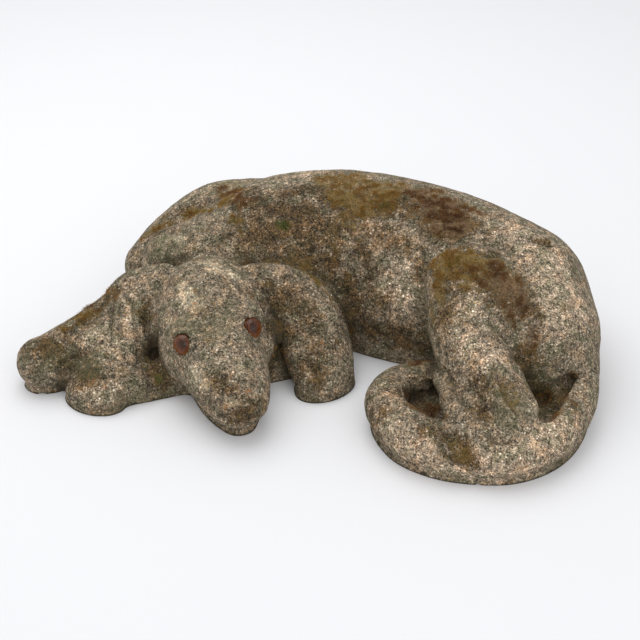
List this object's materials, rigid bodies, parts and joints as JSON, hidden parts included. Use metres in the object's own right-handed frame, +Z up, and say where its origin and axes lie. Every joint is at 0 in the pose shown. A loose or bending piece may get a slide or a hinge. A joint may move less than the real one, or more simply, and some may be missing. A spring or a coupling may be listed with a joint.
{
  "type": "spaniel garden statue",
  "caption": "Curled-up spaniel garden statue in cast stone, head resting on the ground, with glass eyes; stands on its flat underside.",
  "frame": {"origin": "middle of the outline on the ground, at the underside", "axes": "+X towards the rump's side, the longest way; +Y towards the back; -Y the way the nose points; +Z up"},
  "size_m": [0.5933, 0.4209, 0.15],
  "materials": {
    "stone": "rough cast aggregate",
    "eye_glass": "polished amber"
  },
  "bodies": {
    "root": {"stone_spaniel": "stone", "left_glass_eye": "eye_glass", "right_glass_eye": "eye_glass"}
  },
  "joints": []
}
